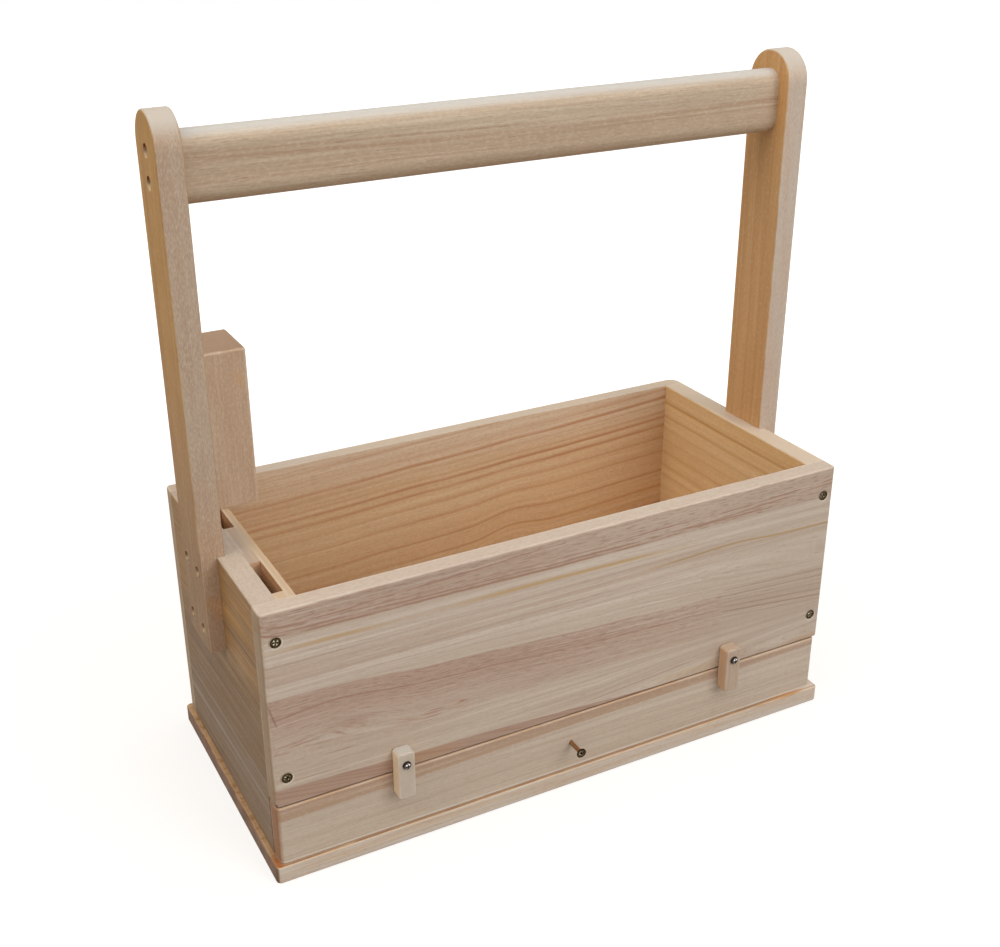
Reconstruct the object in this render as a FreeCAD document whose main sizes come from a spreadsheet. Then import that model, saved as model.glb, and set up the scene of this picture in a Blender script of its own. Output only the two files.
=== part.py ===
"""A wooden tool tote: an open box on a base board, with a handle bar between two uprights, a drawer
under its floor that two turn buttons hold shut, and a narrow tool slot at its left end.

The frame is in millimetres: +X to the right, +Y to the back, +Z up, with the origin in the middle of
the base board's underside. Every size is a cell of the sheet "Sizes", and every piece is bound to it.
"""
import FreeCAD, Part
import Sketcher
import math
import os
import re

SIZES = {
    # the box
    "case_width": 400.0,
    "case_depth": 185.0,
    "wall_height": 172.0,
    "seam_height": 41.5,
    "front_thickness": 12.0,
    "back_thickness": 11.0,
    "side_thickness": 14.5,
    "corner_round": 3.0,
    "back_right_round": 8.0,
    "edge_ease": 1.2,
    # the base board
    "base_thickness": 12.0,
    "base_side_overhang": 3.5,
    "base_end_overhang": 2.5,
    # the floor panel above the drawer
    "floor_height": 46.0,
    "floor_thickness": 6.0,
    "floor_groove": 4.0,
    "panel_clearance": 0.1,
    # the uprights and the handle bar
    "upright_width": 39.2,
    "upright_thickness": 15.0,
    "upright_from_front": 74.2,
    "upright_bottom": 109.0,
    "upright_top": 427.3,
    "upright_ease": 1.2,
    "housing_depth": 5.0,
    "housing_clearance": 0.15,
    "handle_below_top": 31.5,
    "handle_section_height": 39.5,
    "handle_section_depth": 20.0,
    "handle_round": 9.0,
    # the tool slot at the left end
    "slot_width": 6.9,
    "partition_thickness": 5.2,
    "front_spacer_length": 7.7,
    "front_slot_length": 38.8,
    "middle_spacer_length": 48.5,
    # the lift-out block in the back left corner
    "block_width": 31.8,
    "block_depth": 39.8,
    "block_height": 103.3,
    "block_round": 2.0,
    "tongue_length": 60.0,
    "lift_clearance": 0.3,
    # the drawer
    "drawer_gap_left": 0.3,
    "drawer_gap_right": 2.2,
    "seam_gap": 0.9,
    "running_gap": 0.3,
    "drawer_side_gap": 0.8,
    "drawer_side_thickness": 8.0,
    "drawer_side_height": 34.0,
    "drawer_back_gap": 2.0,
    "drawer_housing": 4.0,
    "drawer_groove": 3.0,
    "drawer_bottom_lift": 3.0,
    "drawer_bottom_thickness": 4.0,
    "knob_height": 19.5,
    "knob_reach": 13.0,
    # the turn buttons
    "button_width": 11.0,
    "button_height": 32.5,
    "button_thickness": 9.0,
    "button_pivot_below_top": 8.0,
    "button_pivot_above_seam": 9.5,
    "button_spacing": 240.5,
    "button_corner": 2.0,
    "button_ease": 0.7,
    "button_gap": 0.3,
    "button_running_clearance": 0.08,
    # the screws and pins
    "screw_head": 6.8,
    "screw_shank": 3.5,
    "screw_rim": 0.4,
    "screw_sunk": 0.3,
    "screw_clearance": 0.05,
    "board_screw_length": 32.0,
    "handle_screw_length": 45.0,
    "upright_screw_length": 19.0,
    "screw_from_end": 8.4,
    "screw_from_edge": 19.4,
    "base_screw_spacing": 50.0,
    "base_back_screw_spacing": 200.0,
    "counterbore": 8.0,
    "counterbore_depth": 3.5,
    "upright_screw_across": 22.0,
    "upright_screw_above_foot": 12.2,
    "upright_screw_rise": 39.0,
    "handle_screw_apart": 17.0,
    "handle_screw_lift": 1.7,
    "round_head": 5.6,
    "round_head_height": 2.0,
    "pivot_shank": 3.0,
    "pivot_screw_length": 16.0,
    "knob_head": 6.6,
    "knob_shank": 3.0,
    "knob_screw_length": 22.0,
    "recess_arm": 3.4,
    "recess_width": 0.8,
    "recess_depth": 1.2,
    "head_gap": 0.2,
    "pin_head": 3.0,
    "pin_shank": 1.6,
    "pin_length": 20.0,
    "pin_from_edge": 10.0,
}

# planes of the box, as formulas of the sheet
LEFT = "(-case_width / 2)"
RIGHT = "(case_width / 2)"
FRONT = "(-case_depth / 2)"
BACK = "(case_depth / 2)"
DECK = "base_thickness"
SEAM = "(base_thickness + seam_height)"
RIM = "(base_thickness + wall_height)"
FLOOR_LOW = "(base_thickness + floor_height)"
FLOOR_TOP = f"({FLOOR_LOW} + floor_thickness)"
INNER_LEFT = f"({LEFT} + side_thickness)"
INNER_RIGHT = f"({RIGHT} - side_thickness)"
INNER_FRONT = f"({FRONT} + front_thickness)"
INNER_BACK = f"({BACK} - back_thickness)"

# the slot in the boards that holds the floor, above the deck
FLOOR_GROOVE = ("floor_height - panel_clearance", "floor_height + floor_thickness + panel_clearance")

# the uprights: each one's low and high face across the tote, and their front, back and middle
UPRIGHT_LEFT = (f"({LEFT} + housing_depth - upright_thickness)", f"({LEFT} + housing_depth)")
UPRIGHT_RIGHT = (f"({RIGHT} - housing_depth)", f"({RIGHT} - housing_depth + upright_thickness)")
UPRIGHT_FRONT = f"({FRONT} + upright_from_front)"
UPRIGHT_BACK = f"({UPRIGHT_FRONT} + upright_width)"
UPRIGHT_MIDDLE = f"({UPRIGHT_FRONT} + upright_width / 2)"
UPRIGHT_FOOT = "(base_thickness + upright_bottom)"
HANDLE_LEVEL = "(base_thickness + upright_top - handle_below_top)"

# the drawer box's outer faces
DRAWER_LEFT = f"({INNER_LEFT} + drawer_side_gap)"
DRAWER_RIGHT = f"({INNER_RIGHT} - drawer_side_gap)"
DRAWER_BACK = f"({INNER_BACK} - drawer_back_gap)"
DRAWER_LOW = "(base_thickness + running_gap)"
DRAWER_HIGH = f"({DRAWER_LOW} + drawer_side_height)"
DRAWER_BOX_FRONT = f"({INNER_FRONT} - running_gap - drawer_housing + panel_clearance)"
DRAWER_INNER_LEFT = f"({DRAWER_LEFT} + drawer_side_thickness)"
DRAWER_INNER_RIGHT = f"({DRAWER_RIGHT} - drawer_side_thickness)"

# the slot in the drawer's boards that holds its bottom, above their lower edge
DRAWER_SLIT = ("drawer_bottom_lift - panel_clearance",
               "drawer_bottom_lift + drawer_bottom_thickness + panel_clearance")

# the turn buttons: their axes, the height of their pivots and their outer face
BUTTON_AXES = {"left": "(-button_spacing / 2)", "right": "(button_spacing / 2)"}
PIVOT = f"({SEAM} + button_pivot_above_seam)"
BUTTON_FACE = f"({FRONT} - button_gap - button_thickness)"

# which way a screw points, as a turn from +Z
UP = FreeCAD.Rotation()
INTO_BACK = FreeCAD.Rotation(FreeCAD.Vector(1, 0, 0), -90)
INTO_FRONT = FreeCAD.Rotation(FreeCAD.Vector(1, 0, 0), 90)
INTO_RIGHT = FreeCAD.Rotation(FreeCAD.Vector(0, 1, 0), 90)
INTO_LEFT = FreeCAD.Rotation(FreeCAD.Vector(0, 1, 0), -90)

# a face of a body's bounding box: its axis and its end
FACES = {
    "left": ("X", "Min"),
    "right": ("X", "Max"),
    "front": ("Y", "Min"),
    "back": ("Y", "Max"),
    "bottom": ("Z", "Min"),
    "top": ("Z", "Max"),
}
TOUCH = 1e-6

# how far a hole's bore runs out past the face that it starts from
BORE_OVERRUN = 1

# a screw's shank is this many times as thick as its blunt tip
TIP_TAPER = 8

WORD = re.compile(r"[a-z_]+")

doc = FreeCAD.newDocument("tool_tote")
pieces = {}


def make_sheet():
    """Write each size as a plain number beside its name, with the name as the cell's alias."""
    sheet = doc.addObject("Spreadsheet::Sheet", "Sizes")
    for row, (name, value) in enumerate(SIZES.items(), start=1):
        sheet.set(f"A{row}", name)
        sheet.set(f"B{row}", str(value))
        sheet.setAlias(f"B{row}", name)
    doc.recompute()


def formula(text):
    """A formula in the sheet's own words, as FreeCAD's expressions name them."""
    return WORD.sub(lambda word: "Sizes." + word.group(), text)


def bind(item, **formulas):
    """Bind each property to its formula."""
    for name, text in formulas.items():
        item.setExpression(name, formula(text))


def place(item, x="0", y="0", z="0"):
    """Bind where an object stands."""
    for axis, text in (("x", x), ("y", y), ("z", z)):
        item.setExpression(f"Placement.Base.{axis}", formula(text))


def box_feature(body, kind, name, x, y, z):
    """A block added to or taken from a body, between two values on each axis of the body."""
    block = body.newObject(f"PartDesign::{kind}Box", name)
    bind(
        block,
        Length=f"{x[1]} - ({x[0]})",
        Width=f"{y[1]} - ({y[0]})",
        Height=f"{z[1]} - ({z[0]})",
    )
    place(block, x[0], y[0], z[0])
    return block


def board(name, x, y, z):
    """A body that starts as a board between two values on each axis, placed by its low corner."""
    body = doc.addObject("PartDesign::Body", f"{name}_body")
    size = [("0", f"{high} - ({low})") for low, high in (x, y, z)]
    box_feature(body, "Additive", f"{name}_board", *size)
    place(body, x[0], y[0], z[0])
    return body


def groove(body, name, x, y, z):
    """A groove, housing or rabbet, between two values on each axis of the body."""
    doc.recompute()
    before = body.Shape.Volume
    box_feature(body, "Subtractive", name, x, y, z)
    doc.recompute()
    if body.Shape.Volume >= before:
        raise RuntimeError(f"{name} cuts nothing")


def on_face(vertex, bounds, face):
    axis, end = FACES[face]
    return abs(getattr(vertex, axis) - getattr(bounds, axis + end)) < TOUCH


def edges_between(shape, faces):
    """The names of the edges that lie in every named face of the shape's bounding box."""
    bounds = shape.BoundBox
    names = []
    for number, edge in enumerate(shape.Edges, start=1):
        ends = edge.Vertexes + [Part.Vertex(edge.valueAt(sum(edge.ParameterRange) / 2))]
        if all(on_face(end, bounds, face) for end in ends for face in faces):
            names.append(f"Edge{number}")
    return names


def ease(body, name, radius, *places):
    """Round the edges at the named places, such as "front top", to a radius from the sheet."""
    doc.recompute()
    tip = body.Tip
    names = []
    for spot in places:
        names += edges_between(tip.Shape, spot.split())
    fillet = body.newObject("PartDesign::Fillet", name)
    fillet.Base = (tip, sorted(set(names)))
    bind(fillet, Radius=radius)
    body.Tip = fillet
    doc.recompute()


def solid(kind, name, z="0", **formulas):
    """A Part primitive that stands at a height on the Z axis."""
    item = doc.addObject(f"Part::{kind}", name)
    bind(item, **formulas)
    place(item, z=z)
    return item


def fuse(name, shapes):
    """The union of some shapes."""
    item = doc.addObject("Part::MultiFuse", name)
    item.Shapes = shapes
    return item


def cut(name, base, tool):
    """A shape with another taken from it."""
    item = doc.addObject("Part::Cut", name)
    item.Base = base
    item.Tool = tool
    return item


def compound(name, links):
    """Some shapes kept side by side."""
    item = doc.addObject("Part::Compound", name)
    item.Links = links
    return item


def sunk_outline(name, head, shank, length, grow="0"):
    """The parts of a countersunk screw that points up from the origin, all round larger by grow."""
    wide = f"{head} / 2 + {grow}"
    narrow = f"{shank} / 2 + {grow}"
    tip_at = f"{length} - {shank}"
    return [
        solid("Cylinder", f"{name}_rim", Radius=wide, Height="screw_rim"),
        solid("Cone", f"{name}_cone", z="screw_rim", Radius1=wide, Radius2=narrow,
              Height=f"({head} - {shank}) / 2"),
        solid("Cylinder", f"{name}_shank", Radius=narrow, Height=tip_at),
        solid("Cone", f"{name}_tip", z=tip_at, Radius1=narrow, Radius2=f"{shank} / {TIP_TAPER} + {grow}",
              Height=f"{shank} + {grow}"),
    ]


def cross_recess(name, face):
    """The driver's recess in a head whose face is at this height: two crossed bars."""
    bars = []
    for number, (along, across) in enumerate((("recess_arm", "recess_width"),
                                              ("recess_width", "recess_arm")), start=1):
        bar = doc.addObject("Part::Box", f"{name}_bar_{number}")
        bind(bar, Length=along, Width=across, Height="2 * recess_depth")
        place(bar, f"-{along} / 2", f"-{across} / 2", f"{face} - recess_depth")
        bars.append(bar)
    return fuse(f"{name}_recess", bars)


def sunk_screw(name, head, shank, length):
    """A countersunk wood screw, its head's face at the origin."""
    blank = fuse(f"{name}_blank", sunk_outline(name, head, shank, length))
    return cut(name, blank, cross_recess(name, "0"))


def round_screw(name, head, height, shank, length):
    """A round-headed wood screw, its head's underside at the origin."""
    tip_at = f"{length} - {shank}"
    dome = solid("Ellipsoid", f"{name}_dome", Radius1=height, Radius2=f"{head} / 2",
                 Radius3=f"{head} / 2")
    dome.Angle1 = -90
    dome.Angle2 = 0
    blank = fuse(f"{name}_blank", [
        dome,
        solid("Cylinder", f"{name}_shank", Radius=f"{shank} / 2", Height=tip_at),
        solid("Cone", f"{name}_tip", z=tip_at, Radius1=f"{shank} / 2", Radius2=f"{shank} / {TIP_TAPER}",
              Height=shank),
    ])
    return cut(name, blank, cross_recess(name, f"-{height}"))


def panel_pin(name, head, shank, length):
    """A pin with a small sunk head and no recess, its head's face at the origin."""
    return fuse(name, sunk_outline(name, head, shank, length))


def sunk_hole(name, head, shank, length, above, bore):
    """The hole for a sunk screw or pin, with a bore this wide that rises this far above its head."""
    outline = sunk_outline(name, head, shank, length, "screw_clearance")
    outline.append(solid("Cylinder", f"{name}_bore", z=f"-{above} - {BORE_OVERRUN}",
                         Radius=f"{bore} / 2 + screw_clearance", Height=f"{above} + {BORE_OVERRUN}"))
    return fuse(name, outline)


def shank_hole(name, shank, length):
    """A straight hole for a shank that starts at the origin."""
    return solid("Cylinder", name, Radius=f"{shank} / 2 + screw_clearance",
                 Height=f"{length} + screw_clearance")


def stand(name, master, spots):
    """Copies of a master, each at its spot: x, y, z and the way it points."""
    links = []
    for number, (x, y, z, way) in enumerate(spots, start=1):
        link = doc.addObject("App::Link", f"{name}_{number}")
        link.LinkedObject = master
        link.Placement = FreeCAD.Placement(FreeCAD.Vector(), way)
        place(link, x, y, z)
        links.append(link)
    return compound(f"{name}_set", links)


def keep(name, item):
    """Take an object as the finished sub-part of this name."""
    item.Label = name
    pieces[name] = item


def keep_drilled(name, body, *holes):
    """Finish a piece: its body with the holes of its fasteners."""
    tool = holes[0] if len(holes) == 1 else compound(f"{name}_holes", list(holes))
    keep(name, cut(f"{name}_drilled", body, tool))


def board_screw_spots():
    """Where the screws of the front, back and base boards stand, by group."""
    low, high = f"{DECK} + screw_from_edge", f"{RIM} - screw_from_edge"
    ends = (f"{LEFT} + screw_from_end", f"{RIGHT} - screw_from_end")
    sides = (f"{LEFT} + side_thickness / 2", f"{RIGHT} - side_thickness / 2")
    into_base = [(x, y, "screw_sunk", UP)
                 for x in sides for y in ("-base_screw_spacing", "0", "base_screw_spacing")]
    into_base += [(f"{sign}base_back_screw_spacing / 2", f"{BACK} - back_thickness / 2", "screw_sunk", UP)
                  for sign in ("-", "")]
    return {
        "front_board_screws": [(x, f"{FRONT} + screw_sunk", z, INTO_BACK)
                               for x in ends for z in (f"{SEAM} + screw_from_edge", high)],
        "back_board_screws": [(x, f"{BACK} - screw_sunk", z, INTO_FRONT)
                              for x in ends for z in (low, f"({DECK} + {RIM}) / 2", high)],
        "base_screws": into_base,
    }


def upright_screw_spots(outer, inward, way):
    """Where an upright's screws stand, at the bottoms of their bores: four at its foot, two at its top."""
    x = f"{outer} {inward} counterbore_depth"
    foot = f"{UPRIGHT_FOOT} + upright_screw_above_foot"
    lower = [(x, f"{UPRIGHT_MIDDLE} {sign} upright_screw_across / 2", z, way)
             for sign in "-+" for z in (foot, f"{foot} + upright_screw_rise")]
    middle = f"{HANDLE_LEVEL} + handle_screw_lift"
    upper = [(x, UPRIGHT_MIDDLE, f"{middle} {sign} handle_screw_apart / 2", way) for sign in "-+"]
    return lower, upper


def drawer_pin_spots():
    """Where the pins through the drawer's sides into its back stand."""
    ends = ((f"{DRAWER_LEFT} + screw_clearance", INTO_RIGHT),
            (f"{DRAWER_RIGHT} - screw_clearance", INTO_LEFT))
    return [(x, f"{DRAWER_BACK} - drawer_side_thickness / 2", z, way)
            for x, way in ends
            for z in (f"{DRAWER_LOW} + pin_from_edge", f"{DRAWER_HIGH} - pin_from_edge")]


def make_fasteners():
    """Every screw and pin, as a node for each group. Returns each group's holes."""
    screw = ("screw_head", "screw_shank")
    board_size = (*screw, "board_screw_length")
    upright_size = (*screw, "upright_screw_length")
    handle_size = (*screw, "handle_screw_length")
    pin_size = ("pin_head", "pin_shank", "pin_length")
    pivot_size = ("pivot_shank", "pivot_screw_length")
    counterbored = ("counterbore_depth", "counterbore")
    board_pair = (sunk_screw("board_screw", *board_size),
                  sunk_hole("board_hole", *board_size, "screw_sunk", "screw_head"))
    upright_pair = (sunk_screw("upright_screw", *upright_size),
                    sunk_hole("upright_hole", *upright_size, *counterbored))
    handle_pair = (sunk_screw("handle_screw", *handle_size),
                   sunk_hole("handle_hole", *handle_size, *counterbored))
    pin_pair = (panel_pin("panel_pin", *pin_size),
                sunk_hole("pin_hole", *pin_size, "screw_clearance", "pin_head"))
    pivot_pair = (round_screw("pivot_screw", "round_head", "round_head_height", *pivot_size),
                  shank_hole("pivot_hole", *pivot_size))
    knob_pair = (sunk_screw("knob_screw", "knob_head", "knob_shank", "knob_screw_length"),
                 shank_hole("knob_hole", "knob_shank", "knob_screw_length"))
    groups = {name: (board_pair, spots) for name, spots in board_screw_spots().items()}
    for side, outer, inward, way in (("left", UPRIGHT_LEFT[0], "+", INTO_RIGHT),
                                     ("right", UPRIGHT_RIGHT[1], "-", INTO_LEFT)):
        lower, upper = upright_screw_spots(outer, inward, way)
        groups[f"{side}_upright_screws"] = (upright_pair, lower)
        groups[f"{side}_handle_screws"] = (handle_pair, upper)
    groups["drawer_pins"] = (pin_pair, drawer_pin_spots())
    for side, x in BUTTON_AXES.items():
        spot = (x, f"{BUTTON_FACE} - head_gap", PIVOT, INTO_BACK)
        groups[f"turn_button_screw_{side}"] = (pivot_pair, [spot])
    knob_spot = ("0", f"{FRONT} - knob_reach", f"{DECK} + knob_height", INTO_BACK)
    groups["drawer_knob_screw"] = (knob_pair, [knob_spot])
    holes = {}
    for name, ((fastener, hole), spots) in groups.items():
        keep(name, stand(name, fastener, spots))
        holes[name] = stand(f"{name}_hole", hole, spots)
    return holes


def make_base(holes):
    """The base board, which stands out a little all round."""
    base = board(
        "base_board",
        (f"{LEFT} - base_side_overhang", f"{RIGHT} + base_side_overhang"),
        (f"{FRONT} - base_end_overhang", f"{BACK} + base_end_overhang"),
        ("0", DECK),
    )
    ease(base, "base_corners", "corner_round", "front left", "front right", "back left", "back right")
    ease(base, "base_edges", "edge_ease", "top", "bottom")
    keep_drilled("base_board", base, holes["base_screws"])


def make_sides(holes):
    """The side boards, each housed for an upright outside and grooved for the floor inside.

    Edges that meet the slot's spacers or the front and back boards stay sharp, so the rim is flush.
    """
    upright = (f"{UPRIGHT_FRONT} - {INNER_FRONT} - housing_clearance",
               f"{UPRIGHT_BACK} - {INNER_FRONT} + housing_clearance")
    whole = ("0", f"{INNER_BACK} - {INNER_FRONT}")
    left = ("left", (LEFT, INNER_LEFT), ("0", "housing_depth"),
            ("side_thickness - floor_groove", "side_thickness"), ("left top",))
    right = ("right", (INNER_RIGHT, RIGHT), ("side_thickness - housing_depth", "side_thickness"),
             ("0", "floor_groove"), ("left top", "right top"))
    for side, x, outer, inner, eased in (left, right):
        name = f"{side}_side_board"
        body = board(name, x, (INNER_FRONT, INNER_BACK), (DECK, RIM))
        ease(body, f"{name}_edges", "edge_ease", *eased)
        groove(body, f"{name}_housing", outer, upright,
               ("upright_bottom - housing_clearance", "wall_height"))
        groove(body, f"{name}_groove", inner, whole, FLOOR_GROOVE)
        keep_drilled(name, body, holes["front_board_screws"], holes["back_board_screws"],
                     holes["base_screws"], holes[f"{side}_upright_screws"])


def make_front_and_back(holes):
    """The front board above the drawer and the full-height back board, over the sides' ends."""
    along = ("side_thickness - floor_groove", "case_width - side_thickness + floor_groove")
    front = board("front_board", (LEFT, RIGHT), (FRONT, INNER_FRONT), (SEAM, RIM))
    ease(front, "front_corners", "corner_round", "front left", "front right")
    ease(front, "front_edges", "edge_ease", "front top", "front bottom")
    groove(front, "front_groove", along, ("front_thickness - floor_groove", "front_thickness"),
           tuple(f"{z} - seam_height" for z in FLOOR_GROOVE))
    keep_drilled("front_board", front, holes["front_board_screws"],
                 holes["turn_button_screw_left"], holes["turn_button_screw_right"])
    back = board("back_board", (LEFT, RIGHT), (INNER_BACK, BACK), (DECK, RIM))
    ease(back, "back_left_corner", "corner_round", "back left")
    ease(back, "back_right_corner", "back_right_round", "back right")
    ease(back, "back_edges", "edge_ease", "back top")
    groove(back, "back_groove", along, ("0", "floor_groove"), FLOOR_GROOVE)
    keep_drilled("back_board", back, holes["back_board_screws"], holes["base_screws"])


def make_floor():
    """The floor panel, held in the grooves of the four boards."""
    held = "floor_groove - panel_clearance"
    keep("tote_floor", board(
        "tote_floor",
        (f"{INNER_LEFT} - ({held})", f"{INNER_RIGHT} + {held}"),
        (f"{INNER_FRONT} - ({held})", f"{INNER_BACK} + {held}"),
        (FLOOR_LOW, FLOOR_TOP),
    ))


def upright_outline(body, name):
    """A sketch of an upright's broad face: straight sides and a half-round top."""
    sketch = body.newObject("Sketcher::SketchObject", f"{name}_outline")
    plane = next(item for item in body.Origin.OriginFeatures if item.Role == "YZ_Plane")
    sketch.AttachmentSupport = [(plane, "")]
    sketch.MapMode = "FlatFace"
    wide = SIZES["upright_width"]
    straight = SIZES["upright_top"] - SIZES["upright_bottom"] - wide / 2
    foot, crown = FreeCAD.Vector(0, 0, 0), FreeCAD.Vector(wide / 2, straight, 0)
    circle = Part.Circle(crown, FreeCAD.Vector(0, 0, 1), wide / 2)
    across, rise = FreeCAD.Vector(wide, 0, 0), FreeCAD.Vector(0, straight, 0)
    bottom, right, top, left = (
        sketch.addGeometry(shape, False)
        for shape in (
            Part.LineSegment(foot, across),
            Part.LineSegment(across, across + rise),
            Part.ArcOfCircle(circle, 0, math.pi),
            Part.LineSegment(rise, foot),
        )
    )
    start, end, origin = 1, 2, -1
    for rule in (
        ("Coincident", bottom, start, origin, start),
        ("Coincident", bottom, end, right, start),
        ("Tangent", right, end, top, start),
        ("Tangent", top, end, left, start),
        ("Coincident", left, end, bottom, start),
        ("Horizontal", bottom),
        ("Vertical", right),
        ("Vertical", left),
    ):
        sketch.addConstraint(Sketcher.Constraint(*rule))
    for label, line, kind, value, text in (
        ("width", bottom, "DistanceX", wide, "upright_width"),
        ("height", right, "DistanceY", straight, "upright_top - upright_bottom - upright_width / 2"),
    ):
        number = sketch.addConstraint(Sketcher.Constraint(kind, line, start, line, end, value))
        sketch.renameConstraint(number, label)
        sketch.setExpression(f"Constraints.{label}", formula(text))
    return sketch


def make_uprights(holes):
    """The two uprights, let into the side boards."""
    for side, x in (("left", UPRIGHT_LEFT[0]), ("right", UPRIGHT_RIGHT[0])):
        name = f"{side}_upright"
        body = doc.addObject("PartDesign::Body", f"{name}_body")
        sketch = upright_outline(body, name)
        pad = body.newObject("PartDesign::Pad", f"{name}_pad")
        pad.Profile = sketch
        bind(pad, Length="upright_thickness")
        place(body, x, UPRIGHT_FRONT, UPRIGHT_FOOT)
        ease(body, f"{name}_edges", "upright_ease", "left", "right")
        keep_drilled(name, body, holes[f"{side}_upright_screws"], holes[f"{side}_handle_screws"])


def make_handle(holes):
    """The handle bar, an oval bar between the uprights."""
    bar = board(
        "handle_bar",
        (UPRIGHT_LEFT[1], UPRIGHT_RIGHT[0]),
        (f"{UPRIGHT_MIDDLE} - handle_section_depth / 2", f"{UPRIGHT_MIDDLE} + handle_section_depth / 2"),
        (f"{HANDLE_LEVEL} - handle_section_height / 2", f"{HANDLE_LEVEL} + handle_section_height / 2"),
    )
    ease(bar, "handle_rounding", "handle_round",
         "front top", "front bottom", "back top", "back bottom")
    keep_drilled("handle_bar", bar, holes["left_handle_screws"], holes["right_handle_screws"])


def make_slot():
    """The thin partition and the two spacers that make the tool slot."""
    inside = (f"{INNER_LEFT} + slot_width", f"{INNER_LEFT} + slot_width + partition_thickness")
    partition = board("slot_partition", inside, (INNER_FRONT, INNER_BACK), (FLOOR_TOP, RIM))
    ease(partition, "partition_edges", "edge_ease", "right top")
    keep("slot_partition", partition)
    between = (INNER_LEFT, f"{INNER_LEFT} + slot_width")
    front_end = f"{INNER_FRONT} + front_spacer_length"
    middle_start = f"{front_end} + front_slot_length"
    for name, y in (
        ("slot_front_spacer", (INNER_FRONT, front_end)),
        ("slot_middle_spacer", (middle_start, f"{middle_start} + middle_spacer_length")),
    ):
        keep(name, board(name, between, y, (FLOOR_TOP, RIM)))


def make_corner_block():
    """The block that stands on the slot's back end, with a tongue down into the slot."""
    block = board(
        "corner_block",
        (f"{INNER_LEFT} + lift_clearance", f"{INNER_LEFT} + lift_clearance + block_width"),
        (f"{INNER_BACK} - lift_clearance - block_depth", f"{INNER_BACK} - lift_clearance"),
        (f"{RIM} - tongue_length", f"{RIM} + lift_clearance + block_height"),
    )
    groove(block, "block_rabbet", ("slot_width - 2 * lift_clearance", "block_width"),
           ("0", "block_depth"), ("0", "tongue_length + lift_clearance"))
    ease(block, "block_edges", "block_round", "front right", "back right", "top")
    keep("corner_block", block)


def make_drawer_front(holes):
    """The drawer's front, as wide as the case, housed for the sides and grooved for the bottom."""
    left = f"({LEFT} + drawer_gap_left)"
    front = board(
        "drawer_front",
        (left, f"{RIGHT} - drawer_gap_right"),
        (FRONT, f"{INNER_FRONT} - running_gap"),
        (DRAWER_LOW, f"{SEAM} - seam_gap"),
    )
    ease(front, "drawer_front_corners", "corner_round", "front left", "front right")
    ease(front, "drawer_front_edges", "edge_ease", "front top")
    rear = ("front_thickness - running_gap - drawer_housing", "front_thickness - running_gap")
    for side, low, high in (("left", DRAWER_LEFT, DRAWER_INNER_LEFT),
                            ("right", DRAWER_INNER_RIGHT, DRAWER_RIGHT)):
        groove(front, f"drawer_front_{side}_housing",
               (f"{low} - {left} - panel_clearance", f"{high} - {left} + panel_clearance"), rear,
               ("0", "drawer_side_height + panel_clearance"))
    groove(front, "drawer_front_groove",
           (f"{DRAWER_INNER_LEFT} - {left}", f"{DRAWER_INNER_RIGHT} - {left}"), rear, DRAWER_SLIT)
    keep_drilled("drawer_front", front, holes["drawer_knob_screw"])


def make_drawer_box(holes):
    """The drawer's sides, back and bottom."""
    whole = ("0", f"{DRAWER_BACK} - {DRAWER_BOX_FRONT}")
    left = ("left", (DRAWER_LEFT, DRAWER_INNER_LEFT),
            ("drawer_side_thickness - drawer_groove", "drawer_side_thickness"))
    right = ("right", (DRAWER_INNER_RIGHT, DRAWER_RIGHT), ("0", "drawer_groove"))
    for side, x, inner in (left, right):
        name = f"drawer_{side}_side"
        body = board(name, x, (DRAWER_BOX_FRONT, DRAWER_BACK), (DRAWER_LOW, DRAWER_HIGH))
        groove(body, f"{name}_groove", inner, whole, DRAWER_SLIT)
        keep_drilled(name, body, holes["drawer_pins"])
    back_front = f"({DRAWER_BACK} - drawer_side_thickness)"
    back = board("drawer_back", (DRAWER_INNER_LEFT, DRAWER_INNER_RIGHT), (back_front, DRAWER_BACK),
                 (DRAWER_LOW, DRAWER_HIGH))
    groove(back, "drawer_back_groove", ("0", f"{DRAWER_INNER_RIGHT} - {DRAWER_INNER_LEFT}"),
           ("0", "drawer_groove"), DRAWER_SLIT)
    keep_drilled("drawer_back", back, holes["drawer_pins"])
    held = "drawer_groove - panel_clearance"
    lift = f"({DRAWER_LOW} + drawer_bottom_lift)"
    keep("drawer_bottom", board(
        "drawer_bottom",
        (f"{DRAWER_INNER_LEFT} - ({held})", f"{DRAWER_INNER_RIGHT} + {held}"),
        (DRAWER_BOX_FRONT, f"{back_front} + {held}"),
        (lift, f"{lift} + drawer_bottom_thickness"),
    ))


def make_buttons():
    """The two turn buttons, each bored for the screw that it turns on."""
    for side, middle in BUTTON_AXES.items():
        name = f"turn_button_{side}"
        button = board(
            name,
            (f"{middle} - button_width / 2", f"{middle} + button_width / 2"),
            (BUTTON_FACE, f"{FRONT} - button_gap"),
            (f"{PIVOT} + button_pivot_below_top - button_height", f"{PIVOT} + button_pivot_below_top"),
        )
        ease(button, f"{name}_corners", "button_corner",
             "left top", "right top", "left bottom", "right bottom")
        ease(button, f"{name}_edges", "button_ease", "front", "back")
        bore = solid("Cylinder", f"{name}_bore", Radius="pivot_shank / 2 + button_running_clearance",
                     Height="button_thickness + 2 * button_gap")
        bore.Placement = FreeCAD.Placement(FreeCAD.Vector(), INTO_BACK)
        place(bore, middle, f"{BUTTON_FACE} - button_gap", PIVOT)
        keep_drilled(name, button, bore)


def check_model():
    """Stop if any object failed, or if a sub-part has no valid shape."""
    for item in doc.Objects:
        if "Invalid" in item.State or "Error" in item.State:
            raise RuntimeError(f"{item.Label} is {item.State}")
    for name, item in pieces.items():
        if item.Shape.isNull() or not item.Shape.isValid() or not item.Shape.Solids:
            raise RuntimeError(f"{name} has no valid shape")


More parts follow.
